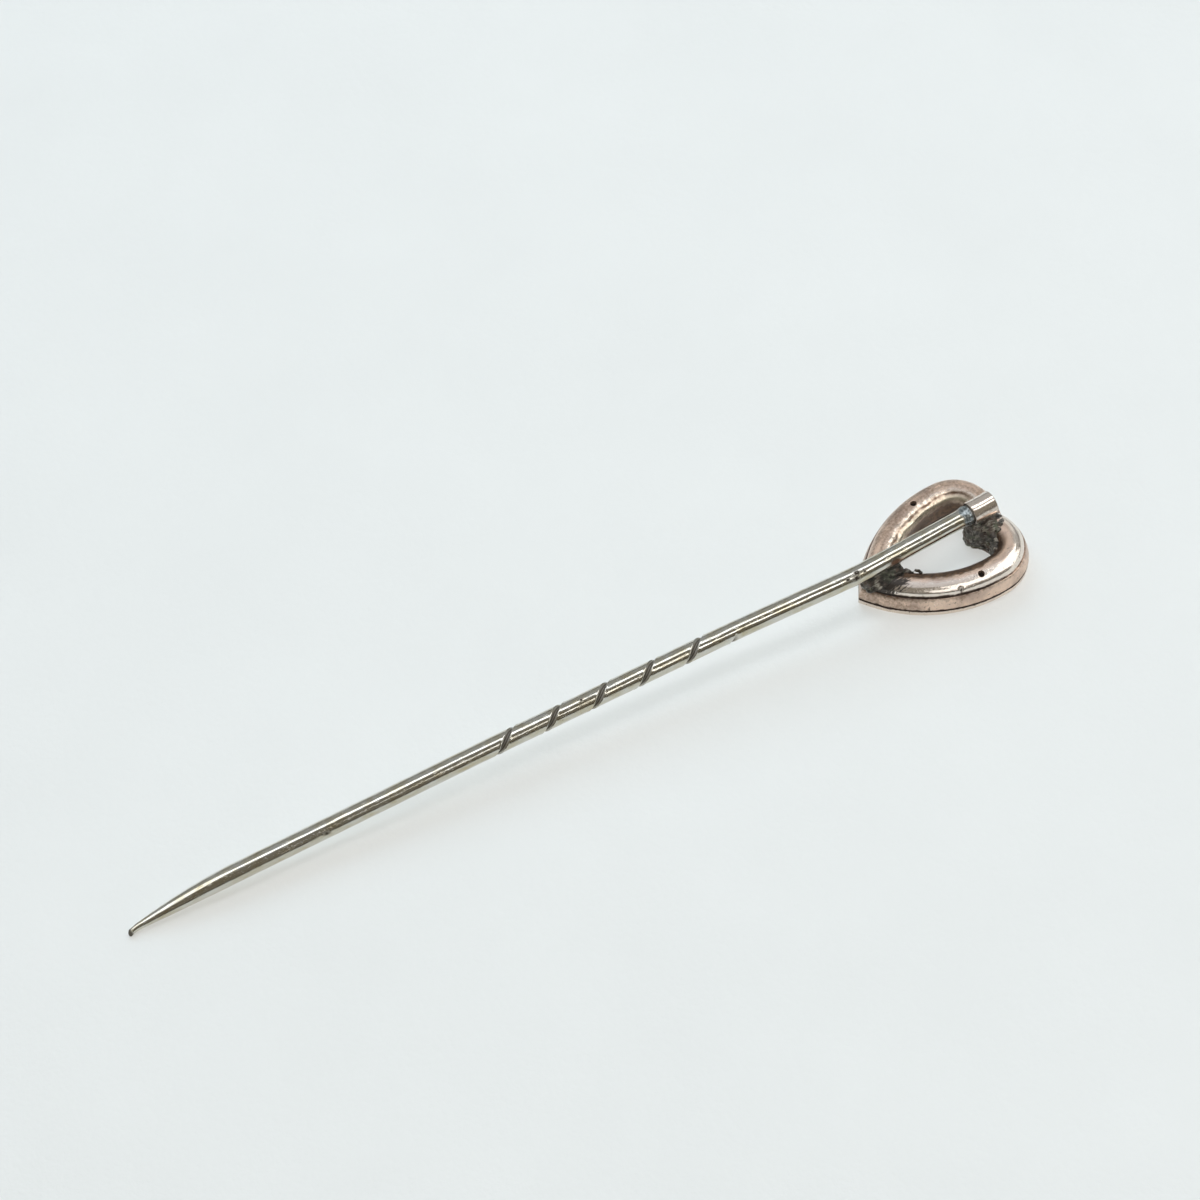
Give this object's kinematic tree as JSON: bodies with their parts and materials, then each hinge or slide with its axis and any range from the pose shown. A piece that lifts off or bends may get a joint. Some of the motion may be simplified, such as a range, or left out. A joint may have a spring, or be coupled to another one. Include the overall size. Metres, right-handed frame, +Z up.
{
  "type": "stick pin",
  "caption": "Antique stick pin: round silver shank with a pointed end and a helical grip groove, soldered across the back of an open hollow heart of rose gold.",
  "frame": {"origin": "bottom centre of the pin's box, on the surface it lies on", "axes": "+X along the shank from its sharp end to the heart, +Z up from the surface to the heart's back, +Y to the left of the shank seen from above"},
  "size_m": [0.0578, 0.0086, 0.0039],
  "materials": {
    "rose_gold": "worn satin",
    "silver": "worn polish with light tarnish",
    "solder": "rough, oxidised"
  },
  "bodies": {
    "root": {"heart_back": "rose_gold", "heart_front": "rose_gold", "stem_sleeve": "rose_gold", "pin_stem": "silver", "point_solder": "solder", "cleft_solder": "solder"}
  },
  "joints": []
}
